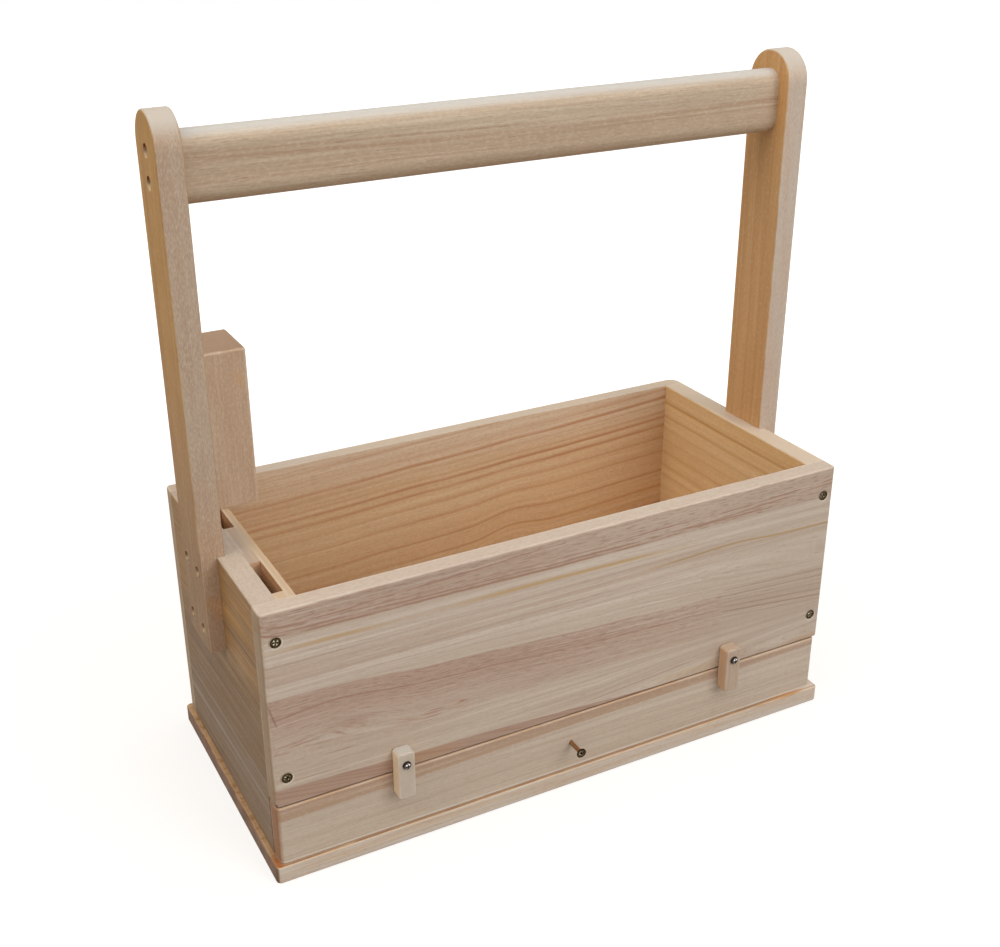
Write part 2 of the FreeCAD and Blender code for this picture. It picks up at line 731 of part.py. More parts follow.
def main():
    make_sheet()
    holes = make_fasteners()
    make_base(holes)
    make_sides(holes)
    make_front_and_back(holes)
    make_floor()
    make_uprights(holes)
    make_handle(holes)
    make_slot()
    make_corner_block()
    make_drawer_front(holes)
    make_drawer_box(holes)
    make_buttons()
    doc.recompute()
    check_model()
    os.makedirs("parts", exist_ok=True)
    for name, item in pieces.items():
        item.Shape.exportStep(f"parts/{name}.step")
        print(f"{name}: {len(item.Shape.Solids)} solid(s), {item.Shape.Volume:.0f} mm3")


main()
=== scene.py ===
"""Wooden tool tote with drawer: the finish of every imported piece, a plain studio and the camera.

Wood is shaded as solid wood. Its figure is laid out in millimetres in the tote's own frame (x to the right,
y to the back, z up), so it runs through a board and out of its ends as it does in a real one.
"""
import math

import bpy
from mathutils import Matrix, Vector


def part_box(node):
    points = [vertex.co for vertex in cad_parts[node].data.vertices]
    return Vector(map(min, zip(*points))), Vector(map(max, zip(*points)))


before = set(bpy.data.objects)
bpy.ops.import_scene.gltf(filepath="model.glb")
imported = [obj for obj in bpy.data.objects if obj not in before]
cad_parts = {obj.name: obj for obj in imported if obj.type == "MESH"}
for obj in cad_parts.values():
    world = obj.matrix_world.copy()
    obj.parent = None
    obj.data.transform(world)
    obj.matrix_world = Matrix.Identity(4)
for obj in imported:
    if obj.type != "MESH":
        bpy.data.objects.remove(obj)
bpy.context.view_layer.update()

MM_PER_METRE = 1000.0

# ---------------------------------------------------------------------------------------------------------
# Camera and studio sizes, in metres and degrees
# ---------------------------------------------------------------------------------------------------------
CAMERA_PLACE = (-0.375237, -0.694191, 0.558575)
CAMERA_TURN = (65.0155, 0.8822, -26.6830)
CAMERA_LENS = 47.904
CAMERA_SENSOR = 36.0
CAMERA_SHIFT = (0.0419, -0.0067)

STUDIO_AIM = (0.0, 0.0, 0.15)
FLOOR_SIZE = 8.0
FLOOR_COLOUR = "94918b"
FLOOR_GLOW = 0.74
FLOOR_NEAR = 0.33
FLOOR_FAR = 0.80
SKY_COLOUR = "ffffff"
SKY_LEVEL = 0.50
BACKDROP_DIMS_BETWEEN = (0.35, 0.75)
BACKDROP_COLOUR = "ffffff"
BACKDROP_ZENITH = "4a4a4c"
LAMPS = {
    "overhead_softbox": {"place": (-0.1, -0.3, 2.2), "size": 2.4, "watts": 24.0, "colour": "ffffff"},
    "front_softbox": {"place": (1.0, -2.0, 1.5), "size": 1.4, "watts": 21.0, "colour": "ffffff"},
    "left_fill": {"place": (-2.2, -0.2, 2.2), "size": 1.6, "watts": 22.0, "colour": "ffe6c6"},
}

# ---------------------------------------------------------------------------------------------------------
# Places on the tote, in millimetres
# ---------------------------------------------------------------------------------------------------------
# The edge of the slot's partition that is towards the tote's middle
PARTITION_EDGE = -173.4

# Screws of the front board and the drawer's knob
FRONT_SCREWS_X = 191.6
FRONT_SCREWS_MIDDLE = 118.75
FRONT_SCREWS_HALF_RISE = 45.85
COUNTERSINK_RADIUS = 3.4
KNOB_HEIGHT = 31.5
KNOB_HEAD_BACK = -104.0

# Counterbores of an upright: middle and half spacing across, middle and half spacing up
BORE_ROWS = ((1.3, 11.0, 152.7, 19.5), (1.3, 0.0, 409.5, 8.5))
BORE_WALL_RADIUS = 4.1

# The span of a drawn path: half its length along a board, and its greatest height across
PATH_HALF_LENGTH = 220.0
PATH_TOP = 200.0

# Past either end of every board, for a streak that doesn't stop on it
BEYOND = 999.0

# ---------------------------------------------------------------------------------------------------------
# Finish
# ---------------------------------------------------------------------------------------------------------
# What is added to a board's seed for each new pattern on it
SEED_STEP = 17.3
PLAIN_BOARDS_SEED = 100.0
PLAIN_BOARDS_SEED_STEP = 11.0

WOOD_ROUGHNESS = 0.66
WOOD_GLOSS = 0.3
FLOOR_ROUGHNESS = 0.9

# Depths of the bump, in metres
WOOD_RELIEF = 0.00006
METAL_RELIEF = 0.00002


# ---------------------------------------------------------------------------------------------------------
# Node trees written as arithmetic
# ---------------------------------------------------------------------------------------------------------
def colour(code):
    """The linear colour of a hex code such as "b9a48c"."""
    channels = [int(code[i:i + 2], 16) / 255 for i in (0, 2, 4)]
    linear = [c / 12.92 if c <= 0.04045 else ((c + 0.055) / 1.055) ** 2.4 for c in channels]
    return (*linear, 1.0)


class Field:
    """A value that varies over a surface: the output of one node, with the usual arithmetic."""

    def __init__(self, shader, socket):
        self.shader = shader
        self.socket = socket

    def _math(self, operation, *others):
        node = self.shader.add("ShaderNodeMath", operation=operation)
        for socket, value in zip(node.inputs, (self, *others)):
            self.shader.feed(socket, value)
        return Field(self.shader, node.outputs[0])

    def __add__(self, other):
        return self._math("ADD", other)

    def __sub__(self, other):
        return self._math("SUBTRACT", other)

    def __mul__(self, other):
        return self._math("MULTIPLY", other)

    def __pow__(self, other):
        return self._math("POWER", other)

    def __neg__(self):
        return self * -1.0

    __radd__ = __add__
    __rmul__ = __mul__

    def __rsub__(self, other):
        return -self + other

    def size(self):
        return self._math("ABSOLUTE")

    def fract(self):
        return self._math("FRACT")

    def least(self, other):
        return self._math("MINIMUM", other)

    def most(self, other):
        return self._math("MAXIMUM", other)

    def rise(self, low, high):
        """0 below low and 1 above high, with a smooth step between. A high under low falls instead."""
        node = self.shader.add("ShaderNodeMapRange", interpolation_type="SMOOTHSTEP")
        values = (low, high, 0.0, 1.0) if low < high else (high, low, 1.0, 0.0)
        self.shader.feed(node.inputs[0], self)
        for socket, value in zip(node.inputs[1:5], values):
            socket.default_value = value
        return Field(self.shader, node.outputs[0])

    def within(self, low, high, soft):
        """1 between low and high and 0 outside. Each end is a fade from soft before it to soft after it."""
        return self.rise(low - soft, low + soft) * self.rise(high + soft, high - soft)


class Shader:
    """A material with one Principled shader, whose inputs are fields."""

    def __init__(self, name):
        self.material = bpy.data.materials.new(name)
        self.material.use_nodes = True
        self.tree = self.material.node_tree
        self.tree.nodes.clear()
        self.output = self.add("ShaderNodeOutputMaterial")
        self.surface = self.add("ShaderNodeBsdfPrincipled")
        self.link(self.surface.outputs[0], self.output.inputs["Surface"])
        place = self.add("ShaderNodeTexCoord")
        self.place = place.outputs["Object"]
        self.normal = place.outputs["Normal"]

    def add(self, kind, **settings):
        node = self.tree.nodes.new(kind)
        for key, value in settings.items():
            setattr(node, key, value)
        return node

    def link(self, start, end):
        self.tree.links.new(start, end)

    def feed(self, socket, value):
        if isinstance(value, Field):
            self.link(value.socket, socket)
        else:
            socket.default_value = value

    def split(self, vector):
        node = self.add("ShaderNodeSeparateXYZ")
        self.link(vector, node.inputs[0])
        return [Field(self, socket) for socket in node.outputs]

    def join(self, x, y, z):
        node = self.add("ShaderNodeCombineXYZ")
        for socket, value in zip(node.inputs, (x, y, z)):
            self.feed(socket, value)
        return node.outputs[0]

    def noise(self, vector, detail=2.0, roughness=0.5):
        """Noise from 0 to 1, mostly between 0.3 and 0.7, with features about one unit of vector across."""
        node = self.add("ShaderNodeTexNoise")
        self.link(vector, node.inputs["Vector"])
        node.inputs["Scale"].default_value = 1.0
        node.inputs["Detail"].default_value = detail
        node.inputs["Roughness"].default_value = roughness
        return Field(self, node.outputs["Fac"])

    def ramp(self, field, stops, curved=False):
        """The value at a field between the stops (place, value), where places run from 0 to 1."""
        node = self.add("ShaderNodeValToRGB")
        node.color_ramp.interpolation = "CARDINAL" if curved else "LINEAR"
        self.feed(node.inputs[0], field)
        elements = node.color_ramp.elements
        elements.remove(elements[1])
        for i, (place, value) in enumerate(sorted(stops)):
            element = elements[0] if i == 0 else elements.new(place)
            element.position = place
            element.color = (value, value, value, 1.0)
        return Field(self, node.outputs["Color"])

    def mix(self, amount, under, over):
        """The colour under, covered by the colour over to the amount given."""
        node = self.add("ShaderNodeMix", data_type="RGBA")
        self.feed(node.inputs["Factor"], amount)
        for socket, value in ((node.inputs[6], under), (node.inputs[7], over)):
            self.feed(socket, colour(value) if isinstance(value, str) else value)
        return Field(self, node.outputs[2])

    def bump(self, height, metres):
        node = self.add("ShaderNodeBump")
        self.feed(node.inputs["Height"], height)
        node.inputs["Distance"].default_value = metres
        node.inputs["Strength"].default_value = 1.0
        self.link(node.outputs[0], self.surface.inputs["Normal"])


# ---------------------------------------------------------------------------------------------------------
# Wood
# ---------------------------------------------------------------------------------------------------------
class Wood(Shader):
    """Solid wood for one board. The axes string names the ways along, across and through the board."""

    def __init__(self, node, axes, seed, tones):
        super().__init__(f"{node}_wood")
        low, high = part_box(node)
        local = {axis: field * MM_PER_METRE for axis, field in zip("xyz", self.split(self.place))}
        self.facing = dict(zip("xyz", self.split(self.normal)))
        self.x, self.y, self.z = (local[axis] for axis in "xyz")
        self.along, self.across, self.deep = (local[axis] for axis in axes)
        self.flow = self.across
        self.seed = seed
        self.tones = tones
        self.dyed = colour(tones["body"])
        self.relief = 0.0
        self.cut_ends = self.facing[axes[0]].size().rise(0.6, 0.9)
        self.edges = self.nearness_to_edges(local, low * MM_PER_METRE, high * MM_PER_METRE)

    def nearness_to_edges(self, local, low, high):
        """1 on the arrises of the box round the board, fading to 0 about 2 mm away from them."""
        gaps = []
        for axis, least, most in zip("xyz", low, high):
            gaps.append((local[axis] - least).least(most - local[axis]))
        smallest = gaps[0].least(gaps[1]).least(gaps[2])
        largest = gaps[0].most(gaps[1]).most(gaps[2])
        middle = gaps[0] + gaps[1] + gaps[2] - smallest - largest
        return middle.rise(2.2, 0.2)

    def spots(self, along, across, deep=None, detail=2.0, roughness=0.5):
        """Noise with features of these sizes in mm, following the flow. Each call is another pattern."""
        self.seed += SEED_STEP
        vector = self.join(
            self.along * (1 / along) + self.seed,
            self.flow * (1 / across) + self.seed * 0.7,
            self.deep * (1 / (deep or across)) - self.seed,
        )
        return self.noise(vector, detail, roughness)

    def wander(self, size, along, across=60.0):
        """A shift of up to about size mm either way, changing slowly over the board."""
        return (self.spots(along, across, detail=1.0) - 0.5) * (2.6 * size)

    def curve(self, height, lean=0.0, bend=0.0):
        """A line along the board: its height across at the middle, its lean, and how it bends."""
        return self.along * lean + self.along * self.along * bend + height

    def path(self, *points):
        """The height across of a smooth line through these points (along, across)."""
        half = PATH_HALF_LENGTH
        stops = [((along + half) / (2 * half), across / PATH_TOP) for along, across in points]
        return self.ramp((self.along + half) * (0.5 / half), stops, curved=True) * PATH_TOP

    def hump(self, place, width):
        """1 at a place along the board, fading away over width on both sides."""
        return ((self.along - place) * (1 / width)).size().rise(1.0, 0.0)

    def stretch(self, start, end, soft=25.0):
        """1 between start and end along the board."""
        return self.along.within(start, end, soft)

    def stroke(self, line, width, start=-BEYOND, end=BEYOND, soft=25.0):
        """A streak along a line, fading over width on both sides, from start to end along the board."""
        return (self.across - line).size().rise(width, 0.0) * self.stretch(start, end, soft)

    def dye(self, amount, tone):
        """Covers the wood with a tone, or with a hex colour, to the amount given."""
        self.dyed = self.mix(amount, self.dyed, self.tones.get(tone, tone))

    def lines(self, low, high, lines, width, amount=1.0):
        """Late-wood lines across the flow, each (height, strength), between low and high."""
        span = high - low
        stops = [(0.0, 0.0), (1.0, 0.0)]
        for height, strength in lines:
            place = (height - low) / span
            stops += [(place - 0.6 * width / span, 0.0), (place, strength), (place + width / span, 0.0)]
        faded = self.spots(90.0, 12.0, detail=2.0).rise(0.25, 0.55) * 0.5 + 0.5
        self.dye(self.ramp((self.flow - low) * (1 / span), stops) * faded * amount, "line")

    def rings(self, gap, amount):
        """Growth rings across the flow, gap mm apart on average."""
        uneven = self.spots(400.0, 2.2 * gap, detail=1.0)
        phase = (self.flow * (1 / gap) + uneven).fract()
        self.dye(phase.rise(0.30, 0.90) * phase.rise(1.0, 0.90) * amount, "line")

    def clouds(self, amount, along=230.0, across=28.0, tone="deep"):
        """Soft patches of another tone, of this size along and across the flow."""
        self.dye(self.spots(along, across).rise(0.35, 0.65) * amount, tone)

    def fibres(self, coarse=0.8, fine=0.6, pores=0.45, flecks=0.3):
        """Streaks, a fine fibre, short pore lines and flecks, all along the flow."""
        wide = self.spots(240.0, 3.6, detail=3.0).rise(0.42, 0.62)
        pale = self.spots(160.0, 2.1).rise(0.50, 0.70)
        thin = self.spots(90.0, 1.1, detail=3.0, roughness=0.6).rise(0.40, 0.66)
        short = self.spots(9.0, 0.6, detail=1.0).rise(0.58, 0.74)
        fleck = self.spots(2.6, 1.2, detail=2.0)
        self.dye(wide * coarse, "streak")
        self.dye(pale * coarse, "pale")
        self.dye(thin * fine, "streak")
        self.dye(short * pores, "pore")
        self.dye(fleck.rise(0.50, 0.70) * flecks, "streak")
        self.dye(fleck.rise(0.50, 0.30) * flecks, "pale")
        self.relief = thin * 0.5 + short * 0.8

    def pale_top(self, tone="c5b8a8", streaks=0.35, specks=0.2):
        """A planed upper edge, paler than the board's faces."""
        grain = self.spots(80.0, 3.0, deep=1.2).rise(0.40, 0.66)
        top = self.mix(grain * streaks, tone, self.tones["deep"])
        speckle = self.spots(3.0, 1.2, detail=2.0).rise(0.40, 0.64)
        top = self.mix(speckle * specks, top, self.tones["streak"])
        self.dyed = self.mix(self.facing["z"].rise(0.45, 0.9) * 0.95, self.dyed, top)

    def screw_seat(self, x, z):
        """A countersink in the front: painted shade above and left of the head, and painted light on the
        edge opposite.
        """
        right, above = self.x - x, self.z - z
        from_centre = (right * right + above * above) ** 0.5
        rim = from_centre.within(COUNTERSINK_RADIUS, COUNTERSINK_RADIUS + 0.9, 0.4)
        shaded_side = above * 0.8 - right * 0.6
        # Painted light on the lit edge below and right of the head
        self.dye(rim * shaded_side.rise(0.0, -2.5) * 0.8, "e4d6c6")
        # Painted shade above and left of the head
        self.dye(rim * shaded_side.rise(0.0, 2.5) * 0.55, "7d6553")

    def bore_walls(self, rows):
        """Counterbores along x, with painted light and shade: a pale, lit wall below each screw and a dark,
        shaded one above it.
        """
        wall = self.facing["x"].size().rise(0.7, 0.5)
        for y, half_y, z, half_z in rows:
            aside = (self.y - y).size() - half_y
            above = (self.z - z).size() - half_z
            from_centre = (aside * aside + above * above) ** 0.5
            inside = from_centre.rise(BORE_WALL_RADIUS + 0.3, BORE_WALL_RADIUS) * wall
            # Painted light on the lower wall, which faces up
            self.dye(inside * self.facing["z"].rise(0.0, 0.6), "e8d3ab")
            # Painted shade on the upper wall, which faces down
            self.dye(inside * self.facing["z"].rise(0.0, -0.6), "854d28")

    def finished(self):
        """Cut ends, arrises paler in patches, roughness and bump. Returns the material."""
        speckle = self.spots(30.0, 1.1).rise(0.38, 0.64)
        ends = self.mix(speckle * 0.5, self.tones["end"], self.tones["pore"])
        self.dyed = self.mix(self.cut_ends * 0.85, self.dyed, ends)
        arris_patches = self.spots(18.0, 18.0).rise(0.35, 0.65)
        self.dye(self.edges * arris_patches * 0.35, "arris")
        self.feed(self.surface.inputs["Base Color"], self.dyed)
        roughness = self.spots(25.0, 6.0) * 0.25 + (WOOD_ROUGHNESS - 0.12)
        self.feed(self.surface.inputs["Roughness"], roughness)
        self.surface.inputs["Specular IOR Level"].default_value = WOOD_GLOSS
        self.bump(self.relief + self.spots(45.0, 9.0) * 1.5, WOOD_RELIEF)
        return self.material


# ---------------------------------------------------------------------------------------------------------
# The palette: the tones of each kind of board, as far as its boards use them
# ---------------------------------------------------------------------------------------------------------
TONES = {
    "cream": {"body": "d2c1af", "deep": "c2ad9b", "pale": "dfd2c4", "streak": "b49a88", "pink": "ba9c8a",
              "pore": "95735f", "end": "9c8b71", "arris": "dccfbf", "line": "a37a64", "ochre": "c2a072"},
    "wheat": {"body": "ccb9a1", "deep": "bba58c", "pale": "d8c8b2", "streak": "ad9379",
              "pore": "92745f", "end": "a4967f", "arris": "d8cbbb"},
    "reddish": {"body": "dabe97", "deep": "d1af84", "pale": "e2ccad", "streak": "c8a07a",
                "pore": "b08566", "end": "b9a284", "arris": "e2d4c1", "line": "b5764a"},
    "alder": {"body": "d3bca3", "deep": "caac90", "pale": "dbc8b2", "streak": "bfa084",
              "pore": "a38266", "end": "94795f", "arris": "e2d4c1", "ochre": "d2a578"},
    # straw, golden and honey are partly painted warm light, for the faces that look left
    "straw": {"body": "e6cb9f", "deep": "debd8c", "pale": "ecd6b2", "streak": "d8b586",
              "pore": "be9868", "end": "c4b298", "arris": "e2d4c1", "line": "bf8c52", "ochre": "deb26c"},
    "golden": {"body": "d3aa7a", "deep": "c69864", "pale": "dcbc93", "streak": "c09262", "pink": "c59a78",
               "pore": "a2774d", "end": "bdaa90", "arris": "dccdb6", "line": "aa743f", "ochre": "cb9955"},
    "honey": {"body": "b78b4a", "deep": "a87d47", "pale": "c5a06c", "streak": "9f7645", "pink": "ac866a",
              "pore": "86633f", "end": "aa9a80", "arris": "c6ac84", "line": "8c6438", "ochre": "b5893f"},
    # brown is darker than the wood itself: painted shade for the left side board's shaded face
    "brown": {"body": "8c7253", "deep": "7c6347", "pale": "a08769", "streak": "755b40",
              "pore": "68503b", "end": "9c8b71", "arris": "b0a088", "line": "6c5034"},
}

# The finishes of pieces that share one function
UPRIGHTS = {
    "left_upright": {"seed": 70.0, "tones": "honey", "foot": "86705d", "narrow": "bda996",
                     "narrow_foot": "c2a388", "grit": 0.35},
    "right_upright": {"seed": 79.0, "tones": "golden", "foot": "d1a470", "narrow": "c9bcaf",
                      "narrow_foot": "c9bcaf", "grit": 0.25},
}
# The buttons' side tones are painted light, lighter and warmer than their faces
TURN_BUTTONS = {
    "turn_button_left": {"seed": 180.0, "face": "ccbfad", "side": "f7debb", "ends": "c2beb7"},
    "turn_button_right": {"seed": 190.0, "face": "b89e87", "side": "d3aa83", "ends": "bba48c"},
}
PLAIN_BOARDS = {
    "tote_floor": {"axes": "xyz", "tones": "reddish"},
    # slot: the tone of the slot's inside, painted light, lighter and warmer than the wood
    "slot_partition": {"axes": "yzx", "tones": "reddish", "top": "bda98f", "slot": "c68d5f"},
    "slot_front_spacer": {"axes": "zyx", "tones": "reddish", "top": "c1ab91", "slot": "cf9c6c"},
    "slot_middle_spacer": {"axes": "yxz", "tones": "reddish", "top": "ac9d90", "slot": "e6b896"},
    "drawer_left_side": {"axes": "yzx", "tones": "cream"},
    "drawer_right_side": {"axes": "yzx", "tones": "cream"},
    "drawer_back": {"axes": "xzy", "tones": "cream"},
    "drawer_bottom": {"axes": "xyz", "tones": "reddish"},
}


def front_flow(wood, pink_top):
    """How the grain runs: bowed with the pink strip, lifted round its eye, rising rightwards at the foot."""
    bow = (pink_top - 118.0) * wood.z.within(88.0, 128.0, 10.0)
    heart_lift = wood.hump(-158.0, 60.0) * wood.z.within(96.0, 112.0, 6.0) * 3.5
    rise_right = (wood.x - 20.0).most(0.0) * wood.z.within(56.0, 74.0, 6.0) * 0.10
    wood.flow = wood.z - bow - heart_lift - rise_right + wood.wander(0.8, 190.0) + (wood.y + 92.5) * 0.25


def front_cream_strip(wood):
    """Pale bands and pinkish streaks in the middle strip."""
    wood.clouds(0.35, across=16.0)
    wood.dye(wood.z.within(151.0, 164.0, 2.0) * 0.45, "pale")
    wood.dye(wood.z.within(128.0, 136.0, 2.0) * 0.35, "pale")
    for z, width, strength in ((149.3, 1.5, 0.5), (143.5, 2.6, 0.5), (137.6, 1.6, 0.45), (131.4, 1.2, 0.3)):
        wood.dye(wood.stroke(wood.wander(0.4, 120.0) + z, width, -BEYOND, 120.0, 80.0) * strength, "pink")
    wood.dye(wood.z.within(66.0, 82.0, 4.0) * wood.stretch(-230.0, 90.0, 60.0) * 0.35, "cbbda6")


def front_pink_strips(wood, pink_top, heart):
    """The pink strip, which ends where the heart begins, the brown-pink band on top, and fibres over all."""
    below = pink_top - wood.across + wood.wander(0.5, 50.0)
    pink = below.rise(-0.5, 1.2) * below.rise(40.0, 12.0) * (1.0 - heart)
    wood.dye(pink * (wood.stretch(-300.0, 40.0, 90.0) * 0.4 + 0.55), "pink")
    wood.dye(heart * wood.z.within(84.0, 111.0, 4.0) * 0.6, "deep")
    band_foot = wood.wander(0.6, 40.0) + wood.path((-200, 170), (-190, 167.5), (-175, 166.3), (-100, 165.6),
                                                  (-50, 164.8), (0, 164.2), (50, 164), (200, 163.2))
    band = (wood.across - band_foot).rise(-0.4, 1.0)
    wood.dye(band * (wood.x.rise(40.0, -60.0) * 0.3 + 0.45), "pink")
    wood.dye(wood.z.rise(177.0, 180.0) * wood.stretch(-150.0, -70.0, 40.0) * 0.5, "a58876")
    wood.fibres(coarse=0.35, fine=0.34, pores=0.25, flecks=0.12)
    wood.dye(wood.x.rise(60.0, 150.0) * 0.10, "8c7a68")
    return pink, band_foot, band


def front_pores(wood, pink, band):
    """Short dashes in the pink strip and the top band, rusty flecks and a spot at the strip's foot."""
    dashes = wood.spots(9.0, 0.9, detail=1.0).rise(0.52, 0.68)
    wood.dye(dashes * pink * 0.4, "pore")
    wood.dye(dashes * band * 0.5, "pore")
    left_rust = wood.z.within(90.0, 97.0, 2.0) * wood.stretch(-230.0, -145.0, 15.0)
    right_rust = wood.stretch(-120.0, -75.0, 20.0) + wood.stretch(-50.0, 100.0, 30.0) * 0.6
    rust = (left_rust + wood.z.within(83.0, 91.0, 2.0) * right_rust).least(1.0)
    wood.dye(rust * wood.spots(13.0, 0.55).rise(0.48, 0.60) * 0.55, "a87a60")
    wood.dye(wood.hump(-78.0, 5.0) * (wood.z - 89.5).size().rise(1.2, 0.0) * 0.8, "a8714b")


def front_arches(wood, pink_top, band_foot):
    """The long late-wood lines: two arches in the pink strip, and those round the band on top."""
    arch = wood.path((-200, 113.5), (-185, 115), (-168, 116.8), (-150, 116.5), (-130, 114), (-110, 111.5),
                     (-80, 109.5), (-50, 107.8), (0, 104.3), (60, 101.5), (100, 99.8), (200, 95))
    upper_arch = wood.path((-200, 119.5), (-170, 120.7), (-150, 120.2), (-130, 117.4), (-110, 114.8),
                           (-80, 113), (-50, 111.2), (0, 108), (100, 104))
    upper_left = wood.path((-200, 176.5), (-185, 173.4), (-165, 173.8), (-140, 175), (-60, 178), (0, 180))
    upper_right = wood.path((20, 171), (60, 172), (110, 172), (150, 173), (200, 175.5))
    lower_right = wood.path((90, 167.5), (130, 169.3), (160, 170.8), (200, 173))
    strokes = ((band_foot + 1.0, 1.1, -BEYOND, 60.0, 0.9), (band_foot + 3.3, 0.9, -185.0, 160.0, 0.9),
               (band_foot + 6.0, 0.7, -230.0, 20.0, 0.6), (upper_left, 0.9, -230.0, -20.0, 0.8),
               (upper_right, 0.9, 30.0, 230.0, 0.9), (lower_right, 0.8, 100.0, 230.0, 0.9),
               (pink_top - 0.6, 1.1, -230.0, 60.0, 0.35), (arch, 0.9, -BEYOND, 90.0, 0.8),
               (arch + 2.0, 0.6, -110.0, 90.0, 0.4), (upper_arch, 0.7, -BEYOND, 60.0, 0.45),
               (arch - 7.5, 0.7, -60.0, 90.0, 0.35))
    broken = wood.spots(25.0, 3.0).rise(0.25, 0.55)
    for line, width, start, end, strength in strokes:
        wood.dye(wood.stroke(line, width, start, end) * broken * strength, "line")


def front_fan(wood, heart):
    """Lines that fall to the right in the heart, right of the pink strip."""
    for z, slope, strength in ((113.0, -0.059, 0.4), (108.5, -0.065, 0.4), (104.0, -0.082, 0.4),
                               (100.5, -0.100, 0.5), (97.0, -0.112, 0.7), (92.5, -0.094, 0.3)):
        fan = wood.curve(z - slope * 115.0, slope)
        wood.dye(wood.stroke(fan, 1.0) * heart * strength, "9c7f66")


def front_streaks(wood):
    """The golden and the brown streak of the cream strip, the pink strip's eye, and a few fine lines."""
    streak = wood.wander(0.3, 60.0) + wood.path((-200, 159), (-150, 158.4), (-110, 157.5), (-60, 157.6),
                                                (0, 157), (60, 155.5), (110, 154))
    golden = wood.stretch(-180.0, -135.0, 20.0) * 0.6 + wood.stretch(-70.0, 60.0, 30.0) * 0.7
    wood.dye(wood.stroke(streak, 2.4, -210.0, 110.0) * (golden + 0.2), "ochre")
    brown_line = wood.path((50, 145.4), (90, 146), (112, 147), (135, 146.4), (150, 145), (200, 143.6))
    wood.dye(wood.stroke(brown_line, 1.3, 60.0, 230.0) * 0.8, "b3905f")
    eye = wood.hump(-150.0, 24.0) * (wood.z - 99.0).size().rise(4.5, 0.0)
    wood.dye(eye * 0.35, "line")
    fine_lines = ((wood.curve(63.2, -0.035), -190.0, -160.0), (wood.curve(76.5, -0.030), -165.0, -150.0),
                  (wood.curve(58.6, 0.074), 12.0, 90.0))
    for line, start, end in fine_lines:
        wood.dye(wood.stroke(line, 0.8, start, end, 8.0) * 0.55, "line")


def front_foot_strip(wood):
    """The dark strip at the foot, with slanted grain, which tapers away to the right."""
    strip_top = wood.wander(0.2, 40.0) + wood.path((-200, 65.6), (-150, 64), (-115, 62.3), (-60, 60.8),
                                                   (-20, 58.8), (20, 56.5), (62, 54.4))
    strip = (strip_top - wood.across).rise(-0.3, 0.3) * wood.stretch(-300.0, 62.0, 6.0)
    wood.dye(strip * 0.85, "b0907d")
    wood.dye(strip * wood.stretch(-125.0, -85.0, 15.0) * 0.4, "b98f68")
    slanted = wood.noise(wood.join(wood.x * 0.012, (wood.z + wood.x * 0.16) * 0.55, wood.y * 0.1), 2.0)
    wood.dye(strip * slanted.rise(0.45, 0.60) * 0.45, "a37a64")
    wood.dye(wood.stroke(strip_top - 1.0, 1.4, 36.0, 60.0, 8.0) * 0.7, "8f5f4b")
    wood.dye(wood.z.within(55.0, 60.0, 1.5) * wood.stretch(68.0, 112.0, 10.0) * 0.3, "ochre")
    wood.dye(wood.z.within(54.5, 57.5, 1.0) * wood.stretch(172.0, 230.0, 8.0) * 0.4, "b98f68")


def front_wear(wood):
    """A crack at the left edge; painted shade on the lower arris at the seam, and a nick at its left painted
    as a dark dot; the screws' seats.
    """
    crack = (wood.x + 200.0 - (127.0 - wood.z) * 0.28).size().rise(0.9, 0.2)
    wood.dye(crack * wood.z.within(110.0, 125.0, 2.0) * 0.5, "7d5a4a")
    # Painted shade, warm, along the seam above the drawer
    wood.dye(wood.z.rise(54.6, 53.8) * 0.6, "8a5a40")
    # Painted shade: a dark dot for the small gap at the left corner
    from_corner = ((wood.x + 199.6) * (wood.x + 199.6) + (wood.z - 55.0) * (wood.z - 55.0)) ** 0.5
    wood.dye(from_corner.rise(1.5, 0.7) * 0.9, "3a241a")
    # The seats carry painted shade and painted light
    for x in (-FRONT_SCREWS_X, FRONT_SCREWS_X):
        for rise in (-FRONT_SCREWS_HALF_RISE, FRONT_SCREWS_HALF_RISE):
            wood.screw_seat(x, FRONT_SCREWS_MIDDLE + rise)


def front_board():
    """Three glued strips: brown-pink on top, cream, then a pink one above a dark strip at the foot."""
    wood = Wood("front_board", "xzy", 3.0, TONES["cream"])
    pink_top = wood.path((-200, 127.5), (-165, 127), (-140, 125.5), (-120, 123.5), (-105, 121.5),
                         (-80, 120.5), (-50, 118.5), (0, 115.5), (60, 113), (116, 110), (200, 104))
    heart = wood.x.rise(112.0, 117.0)
    front_flow(wood, pink_top)
    front_cream_strip(wood)
    pink, band_foot, band = front_pink_strips(wood, pink_top, heart)
    front_pores(wood, pink, band)
    front_arches(wood, pink_top, band_foot)
    front_fan(wood, heart)
    front_streaks(wood)
    front_foot_strip(wood)
    front_wear(wood)
    wood.tones = dict(wood.tones, end="968264")
    wood.pale_top(streaks=0.6, specks=0.35)
    return wood.finished()


